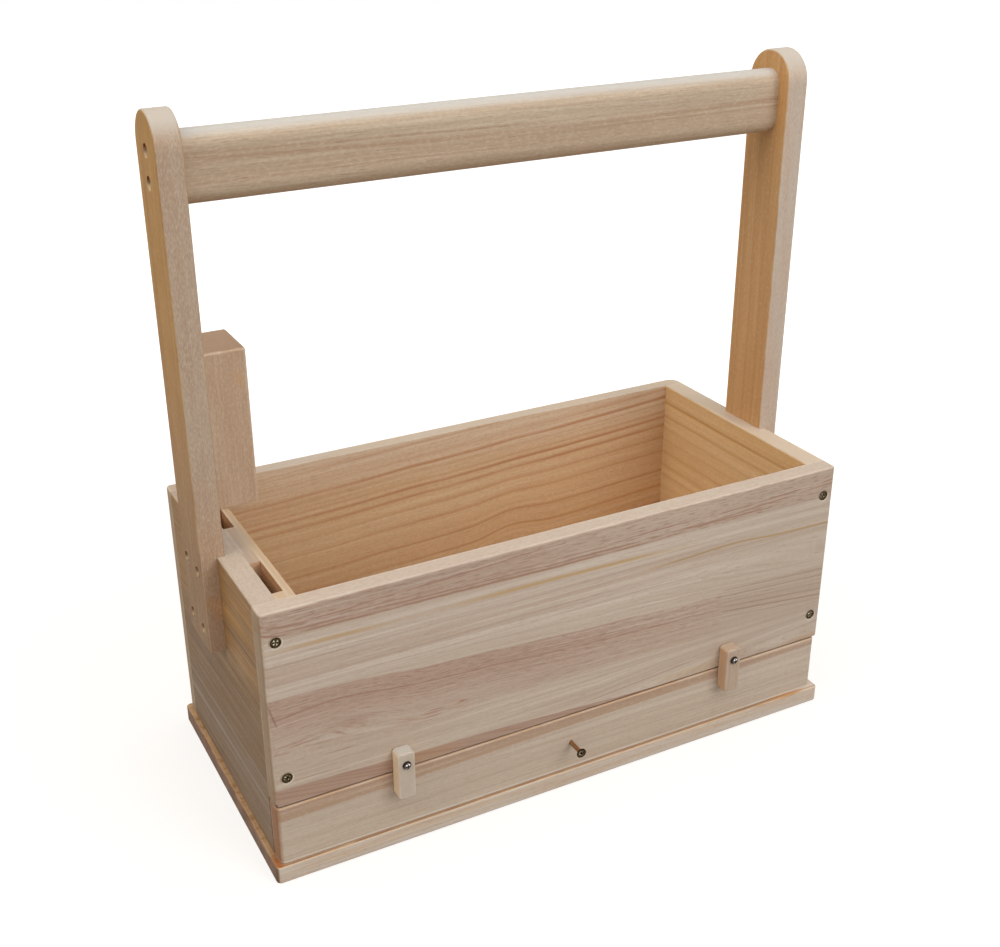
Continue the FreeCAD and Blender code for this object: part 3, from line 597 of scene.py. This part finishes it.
def back_board():
    """Reddish, with late-wood lines over its whole height that fade to the left."""
    wood = Wood("back_board", "xzy", 7.0, TONES["reddish"])
    bump = wood.hump(52.0, 34.0) * wood.z.rise(160.0, 95.0) * 4.5
    trend = wood.curve(0.0, 0.049, 0.0000225)
    wood.flow = wood.z - trend - bump + wood.wander(0.9, 60.0) + (wood.y - 81.5) * 0.3
    wood.clouds(0.5, across=22.0)
    wood.dye(wood.x.rise(-180.0, 120.0) * wood.z.rise(170.0, 90.0) * 0.5, "deb684")
    wood.dye(wood.z.rise(145.0, 180.0) * 0.7, "e3d2bd")
    wood.fibres(coarse=0.35, fine=0.35)
    fades = wood.x.rise(-200.0, 40.0) * 0.5 + 0.45
    upper = ((182.0, 0.45), (171.5, 0.35), (164.8, 0.85), (160.0, 0.25), (152.8, 0.45), (148.5, 0.9),
             (142.0, 0.85), (132.0, 0.4))
    wood.lines(125.0, 195.0, upper, 2.4, amount=fades)
    lower = ((120.5, 0.5), (103.8, 0.6), (90.5, 0.6), (76.0, 0.7), (66.0, 0.6), (57.0, 0.5), (44.0, 0.6),
             (30.0, 0.5))
    wood.lines(15.0, 128.0, lower, 2.0, amount=fades)
    wood.tones = dict(wood.tones, end="94846f")
    wood.pale_top()
    return wood.finished()


def right_side_board():
    """Straw-coloured and ochre near the rim, with a few late-wood lines; the straw is partly painted warm
    light.
    """
    wood = Wood("right_side_board", "yzx", 12.0, TONES["straw"])
    wood.flow = wood.z + wood.curve(0.0, 0.012) + wood.wander(0.8, 90.0) + (wood.x - 185.5) * 0.2
    wood.clouds(0.5, across=20.0)
    wood.dye(wood.z.rise(150.0, 182.0) * 0.4, "ochre")
    wood.rings(9.0, 0.15)
    wood.fibres(coarse=0.35, fine=0.3)
    late_wood = ((171.0, 0.8), (160.0, 0.5), (150.0, 0.3), (141.0, 0.3), (131.0, 0.4), (120.0, 0.4),
                 (112.0, 0.4))
    wood.lines(90.0, 190.0, late_wood, 2.4)
    wood.pale_top("c6b8aa", streaks=0.3)
    return wood.finished()


def left_side_board():
    """Golden near the rim, brown in the middle and grey at the foot, with a pale streak low down."""
    # Its brown palette is painted shade, darker than the wood itself
    wood = Wood("left_side_board", "yzx", 19.0, TONES["brown"])
    wood.flow = wood.z + wood.curve(0.0, 0.06) + wood.wander(1.6, 90.0) + (wood.x + 200.0) * 0.2
    wood.clouds(0.8, across=14.0)
    wood.dye((wood.flow + 4.0).rise(95.0, 145.0) * 0.75, "bb8d50")
    wood.dye(wood.flow.rise(75.0, 35.0) * 0.6, "92806f")
    wood.clouds(0.35, along=60.0, across=7.0, tone="line")
    wood.fibres(coarse=0.4, fine=0.5, pores=0.3, flecks=0.25)
    streaks = ((170.0, -90.0, 90.0, 1.4, 0.4), (158.0, -60.0, 90.0, 1.2, 0.5),
               (139.5, -90.0, -15.0, 2.2, 0.7), (133.0, -90.0, -30.0, 1.5, 0.5),
               (112.0, -90.0, -20.0, 2.5, 0.5), (100.0, -90.0, 0.0, 1.2, 0.5),
               (88.0, -20.0, 60.0, 1.8, 0.6), (78.0, -90.0, 30.0, 1.5, 0.4),
               (66.0, -90.0, 90.0, 1.4, 0.35), (31.0, -90.0, -30.0, 1.6, 0.6),
               (22.5, -30.0, 70.0, 2.0, 0.6))
    for z, start, end, width, strength in streaks:
        line = wood.curve(z, -0.05) + wood.wander(0.6, 50.0)
        wood.dye(wood.stroke(line, width, start, end) * strength, "line")
    for z, width, strength in ((57.0, 2.5, 0.3), (43.5, 3.0, 0.6), (36.0, 1.5, 0.3)):
        wood.dye(wood.stroke(wood.curve(z, -0.06), width) * strength, "a3968a")
    wood.pale_top("c5b6a6", streaks=0.1, specks=0.12)
    return wood.finished()


def upright(name, seed, tones, foot, narrow, narrow_foot, grit):
    """Narrow faces and round top sanded grittier and paler; the broad faces' gold is partly painted warm
    light.
    """
    wood = Wood(name, "zyx", seed, TONES[tones])
    wood.flow = wood.y + wood.wander(3.0, 180.0, 30.0) + wood.deep * 0.4
    wood.clouds(0.8, along=120.0, across=14.0)
    wood.dye(wood.z.rise(260.0, 400.0) * 0.35, "ochre")
    wood.dye(wood.z.rise(340.0, 130.0), foot)
    wood.rings(11.0, 0.2)
    wood.fibres(coarse=0.35, fine=0.35, pores=0.25, flecks=0.3)
    on_edge = wood.facing["y"].size().rise(0.55, 0.85).most(wood.facing["z"].rise(0.2, 0.6))
    edge_tone = wood.mix(wood.z.rise(260.0, 170.0), narrow, narrow_foot)
    edge_tone = wood.mix(wood.spots(90.0, 6.0).rise(0.35, 0.65) * 0.3, edge_tone, wood.tones["pink"])
    patch = wood.hump(150.0, 14.0) * wood.spots(20.0, 9.0).rise(0.4, 0.6)
    edge_tone = wood.mix(patch * 0.5, edge_tone, "d09a5e")
    speckle = wood.spots(2.4, 0.7, detail=3.0)
    edge_tone = wood.mix(speckle.rise(0.48, 0.66) * grit, edge_tone, "9d8370")
    edge_tone = wood.mix(speckle.rise(0.46, 0.34) * grit, edge_tone, "d9cbbb")
    edge_tone = wood.mix(wood.facing["z"].rise(0.2, 0.8) * 0.9, edge_tone, "c0bab0")
    wood.dyed = wood.mix(on_edge * 0.9, wood.dyed, edge_tone)
    wood.cut_ends = wood.cut_ends * wood.z.rise(200.0, 190.0)
    wood.bore_walls(BORE_ROWS)
    return wood.finished()


def handle_bar():
    """Pinkish along its middle and pale on its upper side."""
    wood = Wood("handle_bar", "xzy", 41.0, TONES["wheat"])
    wood.flow = wood.z + wood.wander(1.5, 120.0, 20.0) + wood.deep * 0.3
    wood.clouds(0.6, across=9.0)
    wood.dye(wood.z.rise(418.0, 400.0) * 0.5, "c0a68a")
    wood.dye(wood.z.within(399.0, 413.0, 4.0) * wood.spots(200.0, 6.0).rise(0.3, 0.6) * 0.35, "b5957c")
    streaks = ((408.0, -0.01, 0.0001, 2.0, -230.0, 230.0, 0.6), (412.0, -0.02, 0.0, 1.4, -200.0, 20.0, 0.5),
               (404.5, 0.006, 0.0, 1.2, 20.0, 230.0, 0.5), (400.0, 0.0, 0.0, 1.6, -230.0, 60.0, 0.4))
    for z, lean, bend, width, start, end, strength in streaks:
        wood.dye(wood.stroke(wood.curve(z, lean, bend), width, start, end) * strength, "aa8468")
    wood.dye(wood.z.rise(394.0, 389.0) * 0.5, "b08c6e")
    wood.fibres(coarse=0.3, fine=0.4, pores=0.35, flecks=0.25)
    wood.dye(wood.facing["z"].rise(0.4, 0.95) * 0.7, "c2c3c0")
    return wood.finished()


def drawer_front():
    """Cream with a tan band along its top. Its left end is painted with shade, a warm reddish brown."""
    wood = Wood("drawer_front", "xzy", 53.0, TONES["cream"])
    wood.flow = wood.z + wood.wander(1.5, 150.0) + wood.deep * 0.3
    wood.clouds(0.5, across=12.0)
    band_foot = wood.curve(45.0, 0.012)
    wood.dye((wood.across - band_foot).rise(-0.8, 1.0) * 0.75, "b18c6c")
    wood.dye(wood.stroke(band_foot, 1.0, -110.0, 160.0) * 0.4, "b5865f")
    wood.dye(wood.stroke(wood.curve(47.0, 0.004), 2.4, 100.0, 230.0) * 0.4, "pink")
    wood.dye(wood.stroke(wood.curve(50.5, 0.0), 1.2) * 0.25, "line")
    wood.dye(wood.stroke(wood.curve(36.5, -0.05), 1.5, -60.0, 10.0) * 0.35, "ochre")
    wood.dye(wood.z.rise(44.0, 30.0) * 0.5, "cfbfa7")
    wood.fibres(coarse=0.25, fine=0.3, pores=0.25, flecks=0.15)
    # Painted highlight on the top arris
    wood.dye(wood.z.rise(51.6, 52.3) * wood.y.rise(-91.2, -91.8) * 0.7, "dcb48c")
    # Painted highlight on the lower arris
    wood.dye(wood.z.rise(14.2, 13.2) * 0.7, "e8decf")
    # Painted shade, warm reddish brown, on the left end
    wood.dye(wood.x.rise(-197.0, -199.2) * 0.7, "9c6d48")
    # The left end face's tone is painted shade too
    wood.tones = dict(wood.tones, end="93643d")
    return wood.finished()


def base_board():
    """Pale at the front edge and tan on its ledges, with old glue stains; painted shade on its left end and
    at the drawer's foot.
    """
    wood = Wood("base_board", "xyz", 61.0, TONES["reddish"])
    wood.flow = wood.y + wood.wander(4.0, 200.0) + wood.deep * 0.4
    wood.clouds(0.5)
    wood.rings(14.0, 0.4)
    wood.dye(wood.facing["y"].size().rise(0.6, 0.9) * 0.85, "dad3ca")
    wood.fibres(coarse=0.4, fine=0.4, pores=0.3, flecks=0.2)
    wood.tones = dict(wood.tones, arris="d6b896")
    upward = wood.facing["z"].rise(0.7, 0.95)
    wood.dye(upward * wood.x.rise(165.0, 195.0) * 0.7, "ded3c8")
    wood.dye(upward * wood.x.rise(190.0, 165.0) * 0.85, "a68a71")
    left_ledge = upward * wood.x.rise(-198.0, -200.2)
    mottled = wood.spots(22.0, 5.0)
    wood.dye(left_ledge * 0.85, "b6926a")
    wood.dye(left_ledge * mottled.rise(0.50, 0.66) * 0.65, "946638")
    wood.dye(left_ledge * mottled.rise(0.45, 0.30) * 0.5, "cda87c")
    # Painted shade, warm, on the ledge along the drawer's foot
    foot_line = (wood.y + 93.8).size().rise(0.8, 0.3) * wood.spots(20.0, 20.0).rise(0.2, 0.5)
    wood.dye(upward * foot_line * 0.55, "7d4a2c")
    stain = wood.spots(30.0, 3.0).rise(0.35, 0.55) * wood.y.rise(-90.0, -93.0) * wood.z.rise(10.0, 11.5)
    wood.dye(stain * wood.x.within(150.0, 188.0, 8.0) * 0.8, "bb8048")
    near_corner = wood.hump(-201.0, 6.0) * (wood.y + 90.0).size().rise(10.0, 2.0)
    wood.dye(upward * near_corner * 0.85, "9a5822")
    # Painted shade: the left end is darker
    left_end = (-wood.facing["x"]).rise(0.35, 0.75)
    dark = wood.mix(wood.spots(9.0, 12.0).rise(0.35, 0.65), "775540", "5c402e")
    wood.dyed = wood.mix(left_end * 0.92, wood.dyed, dark)
    wood.cut_ends = wood.cut_ends * wood.facing["x"].rise(0.0, 0.5)
    return wood.finished()


def plain_board(node, seed, axes, tones, top=None, slot=None):
    """A board with quiet, even rings. Those of the slot have a tone for their top, and one for its inside
    that is painted light.
    """
    wood = Wood(node, axes, seed, TONES[tones])
    wood.flow = wood.across + wood.wander(4.0, 260.0) + wood.deep * 0.35
    wood.clouds(0.6)
    if slot:
        # Painted light: the slot's walls lighter and warmer, for its dim inside
        wood.dye(wood.facing["z"].size().rise(0.8, 0.5) * wood.facing["x"].rise(0.5, 0.3) * 0.9, slot)
    wood.rings(9.0, 0.25)
    wood.fibres(coarse=0.5, fine=0.4)
    if top:
        wood.cut_ends = 0.0
        wood.pale_top(top, streaks=0.35, specks=0.15)
        worn_edge = (wood.x - PARTITION_EDGE).size().rise(1.6, 0.4) * wood.facing["z"].rise(0.2, 0.6)
        wood.dye(worn_edge * 0.6, "b5854f")
    return wood.finished()


def corner_block():
    """Upright grain, with a small ochre knot near its top."""
    wood = Wood("corner_block", "zxy", 150.0, TONES["alder"])
    wood.flow = wood.x + wood.wander(2.0, 90.0)
    wood.clouds(0.9, along=70.0, across=12.0)
    wood.clouds(0.35, along=25.0, across=4.0, tone="streak")
    wood.fibres(coarse=0.3, fine=0.35, pores=0.4, flecks=0.45)
    knot = wood.hump(268.0, 9.0) * (wood.x + 159.0).size().rise(4.0, 0.0)
    wood.dye(knot * 0.5, "ochre")
    return wood.finished()


def turn_button(name, seed, face, side, ends):
    """A small block whose sides, and whose top and foot, differ from its face; its sides are painted light.
    """
    wood = Wood(name, "zxy", seed, TONES["cream"])
    wood.clouds(0.5, along=20.0, across=6.0)
    wood.fibres(coarse=0.3, fine=0.4, pores=0.3)
    wood.dye(0.6, face)
    # Painted light: the sides lighter and warmer, for the light they catch
    wood.dye(wood.facing["x"].size().rise(0.5, 0.9) * 0.7, side)
    wood.cut_ends = 0.0
    wood.dye(wood.facing["z"].size().rise(0.5, 0.9) * 0.8, ends)
    return wood.finished()


# ---------------------------------------------------------------------------------------------------------
# Metal
# ---------------------------------------------------------------------------------------------------------
def metal(name, clean, stained, rough, stain=0.5):
    """Metal with a mottled finish and fine scratches. Returns the shader and its colour so far."""
    shader = Shader(name)
    x, y, z = (axis * MM_PER_METRE for axis in shader.split(shader.place))
    mottle = shader.noise(shader.join(x * 0.9, y * 0.9, z * 0.9), 3.0).rise(0.38, 0.62)
    scratch = shader.noise(shader.join(x * 2.0, y * 2.0, z * 9.0), 2.0)
    shader.feed(shader.surface.inputs["Roughness"], scratch * 0.3 + (rough - 0.15))
    shader.surface.inputs["Metallic"].default_value = 1.0
    shader.bump(scratch + mottle, METAL_RELIEF)
    return shader, shader.mix(mottle * stain, clean, stained)


def finish_metal(shader, tone):
    shader.feed(shader.surface.inputs["Base Color"], tone)
    return shader.material


def bronze_screw(axis, clean="c3a06c", stained="6b5233", metallic=1.0):
    """A screw along an axis, yellow-passivated unless told: dull flats, and painted glints on the walls of
    its recess.
    """
    shader, tone = metal(f"bronze_screw_{axis}", clean, stained, 0.34, stain=0.8)
    shader.surface.inputs["Metallic"].default_value = metallic
    facing = dict(zip("xyz", shader.split(shader.normal)))
    # Painted glints on the recess walls
    walls = facing[axis].size().rise(0.985, 0.9)
    return finish_metal(shader, shader.mix(walls, tone, "fff3cf"))


def glinting_recess(shader, tone, x, z, right, above):
    """A head seen from the front, in painted reflections: dark at its rim, lighter inside it, with painted
    glints in its recess.
    """
    from_centre = (right * right + above * above) ** 0.5
    # Painted glints: pale, less metallic spots inside the recess
    glint = shader.noise(shader.join(x * 1.1, z * 0.4, z * 1.1), 1.0).rise(0.54, 0.62)
    glint = glint * from_centre.rise(2.2, 1.6)
    tone = shader.mix(from_centre.rise(2.4, 1.8) * 0.5, tone, "5f5337")
    shader.feed(shader.surface.inputs["Metallic"], glint * -0.8 + 1.0)
    return shader.mix(glint, tone, "efe6c8")


def front_screw():
    """The heads of the front board's screws, painted dark for the dark surroundings they reflect."""
    shader, tone = metal("front_screw", "4c3e25", "1c1408", 0.3, stain=0.9)
    x, _, z = (axis * MM_PER_METRE for axis in shader.split(shader.place))
    right = x.size() - FRONT_SCREWS_X
    above = (z - FRONT_SCREWS_MIDDLE).size() - FRONT_SCREWS_HALF_RISE
    return finish_metal(shader, glinting_recess(shader, tone, x, z, right, above))


def knob_screw():
    """The drawer's knob: a shank dark below with a painted coppery highlight above, behind a head painted
    dark as a reflection.
    """
    shader, tone = metal("knob_screw", "3a2818", "1c1108", 0.3, stain=0.8)
    x, y, z = (axis * MM_PER_METRE for axis in shader.split(shader.place))
    facing = dict(zip("xyz", shader.split(shader.normal)))
    shank = facing["y"].size().rise(0.6, 0.4) * y.rise(KNOB_HEAD_BACK, KNOB_HEAD_BACK + 1.0)
    tone = glinting_recess(shader, tone, x, z, x, z - KNOB_HEIGHT)
    # Painted highlight on the shank's upper side
    tone = shader.mix(shank * facing["z"].rise(0.0, 0.6), tone, "b58a60")
    return finish_metal(shader, tone)


def nickel_screw():
    """A domed head: painted reflection dark towards its rim, painted shade below, and a painted highlight on
    its upper side.
    """
    shader, tone = metal("nickel_screw", "8f8580", "6d625d", 0.14, stain=0.4)
    facing = dict(zip("xyz", shader.split(shader.normal)))
    # Painted shade below
    tone = shader.mix(facing["z"].rise(0.1, -0.3) * 0.7, tone, "5a4e48")
    # Painted reflection: dark towards the rim
    rim = facing["y"].size().rise(0.90, 0.74)
    # Painted highlight on the upper side
    highlight = facing["z"].within(0.22, 0.42, 0.06) * facing["x"].size().rise(0.45, 0.25)
    tone = shader.mix(highlight, tone, "ffffff")
    return finish_metal(shader, shader.mix(rim * 0.95, tone, "241b16"))


# ---------------------------------------------------------------------------------------------------------
# Studio
# ---------------------------------------------------------------------------------------------------------
def seen_directly(tree):
    """1 for rays from the camera and for those that metal or glass passes on."""
    path = tree.nodes.new("ShaderNodeLightPath")
    total = path.outputs["Is Camera Ray"]
    for name in ("Is Glossy Ray", "Is Transmission Ray"):
        node = tree.nodes.new("ShaderNodeMath")
        node.operation = "MAXIMUM"
        tree.links.new(total, node.inputs[0])
        tree.links.new(path.outputs[name], node.inputs[1])
        total = node.outputs[0]
    return total


def make_sky():
    """Even light all round. The camera and metal see a white backdrop that darkens only far overhead."""
    world = bpy.data.worlds.new("studio_sky")
    bpy.context.scene.world = world
    world.use_nodes = True
    tree = world.node_tree
    tree.nodes.clear()
    light, backdrop = (tree.nodes.new("ShaderNodeBackground") for _ in range(2))
    light.inputs["Color"].default_value = colour(SKY_COLOUR)
    light.inputs["Strength"].default_value = SKY_LEVEL
    direction = tree.nodes.new("ShaderNodeTexCoord")
    height = tree.nodes.new("ShaderNodeSeparateXYZ")
    tree.links.new(direction.outputs["Generated"], height.inputs[0])
    dim = tree.nodes.new("ShaderNodeMapRange")
    dim.inputs[1].default_value, dim.inputs[2].default_value = BACKDROP_DIMS_BETWEEN
    tree.links.new(height.outputs["Z"], dim.inputs[0])
    shade = tree.nodes.new("ShaderNodeMix")
    shade.data_type = "RGBA"
    shade.inputs[6].default_value = colour(BACKDROP_COLOUR)
    shade.inputs[7].default_value = colour(BACKDROP_ZENITH)
    tree.links.new(dim.outputs[0], shade.inputs[0])
    tree.links.new(shade.outputs[2], backdrop.inputs["Color"])
    mix = tree.nodes.new("ShaderNodeMixShader")
    tree.links.new(seen_directly(tree), mix.inputs[0])
    tree.links.new(light.outputs[0], mix.inputs[1])
    tree.links.new(backdrop.outputs[0], mix.inputs[2])
    output = tree.nodes.new("ShaderNodeOutputWorld")
    tree.links.new(mix.outputs[0], output.inputs["Surface"])


def floor_material():
    """Pale floor that keeps the tote's shadow near it and turns plain white further out."""
    shader = Shader("studio_floor")
    x, y, _ = shader.split(shader.place)
    far = ((x * x + y * y) ** 0.5).rise(FLOOR_NEAR, FLOOR_FAR)
    shader.surface.inputs["Base Color"].default_value = colour(FLOOR_COLOUR)
    shader.surface.inputs["Roughness"].default_value = FLOOR_ROUGHNESS
    seen = Field(shader, seen_directly(shader.tree))
    glow = shader.add("ShaderNodeEmission")
    shader.feed(glow.inputs["Strength"], seen * (far * (1.0 - FLOOR_GLOW) + FLOOR_GLOW))
    total = shader.add("ShaderNodeAddShader")
    shader.link(shader.surface.outputs[0], total.inputs[0])
    shader.link(glow.outputs[0], total.inputs[1])
    shader.link(total.outputs[0], shader.output.inputs["Surface"])
    return shader.material


def make_floor():
    half = FLOOR_SIZE / 2
    mesh = bpy.data.meshes.new("floor")
    corners = [(-half, -half, 0), (half, -half, 0), (half, half, 0), (-half, half, 0)]
    mesh.from_pydata(corners, [], [(0, 1, 2, 3)])
    mesh.materials.append(floor_material())
    floor = bpy.data.objects.new("floor", mesh)
    bpy.context.scene.collection.objects.link(floor)


def make_lamps():
    for name, lamp in LAMPS.items():
        data = bpy.data.lights.new(name, "AREA")
        data.size = lamp["size"]
        data.energy = lamp["watts"]
        data.color = colour(lamp["colour"])[:3]
        obj = bpy.data.objects.new(name, data)
        obj.location = lamp["place"]
        obj.rotation_euler = (Vector(STUDIO_AIM) - obj.location).to_track_quat("-Z", "Y").to_euler()
        bpy.context.scene.collection.objects.link(obj)


def make_camera():
    data = bpy.data.cameras.new("camera")
    data.lens = CAMERA_LENS
    data.sensor_width = CAMERA_SENSOR
    data.sensor_fit = "HORIZONTAL"
    data.shift_x, data.shift_y = CAMERA_SHIFT
    camera = bpy.data.objects.new("camera", data)
    camera.location = CAMERA_PLACE
    camera.rotation_euler = [math.radians(angle) for angle in CAMERA_TURN]
    bpy.context.scene.collection.objects.link(camera)
    bpy.context.scene.camera = camera


# ---------------------------------------------------------------------------------------------------------
# Every piece gets its finish
# ---------------------------------------------------------------------------------------------------------
def dress(node, material):
    """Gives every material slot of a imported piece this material."""
    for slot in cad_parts[node].material_slots:
        slot.material = material


def dress_boards():
    for make in (front_board, back_board, left_side_board, right_side_board, handle_bar, drawer_front,
                 base_board, corner_block):
        dress(make.__name__, make())
    for node, finish in UPRIGHTS.items():
        dress(node, upright(node, **finish))
    for node, finish in TURN_BUTTONS.items():
        dress(node, turn_button(node, **finish))
    for i, (node, finish) in enumerate(PLAIN_BOARDS.items()):
        dress(node, plain_board(node, PLAIN_BOARDS_SEED + PLAIN_BOARDS_SEED_STEP * i, **finish))


def dress_metal():
    steel = finish_metal(*metal("bright_steel", "a9a7a2", "77746f", 0.32))
    nickel = nickel_screw()
    front = front_screw()
    knob = knob_screw()
    bronze = {axis: bronze_screw(axis) for axis in "yz"}
    bronze["x"] = bronze_screw("x", "a9703f", "7c4b28", metallic=0.0)
    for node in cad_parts:
        if node == "drawer_pins":
            dress(node, steel)
        elif node.startswith("turn_button_screw"):
            dress(node, nickel)
        elif node == "base_screws":
            dress(node, bronze["z"])
        elif "upright_screws" in node or "handle_screws" in node:
            dress(node, bronze["x"])
        elif node == "front_board_screws":
            dress(node, front)
        elif node == "drawer_knob_screw":
            dress(node, knob)
        elif "screw" in node:
            dress(node, bronze["y"])


dress_boards()
dress_metal()
make_sky()
make_floor()
make_lamps()
make_camera()
bpy.context.scene.view_settings.view_transform = "Standard"
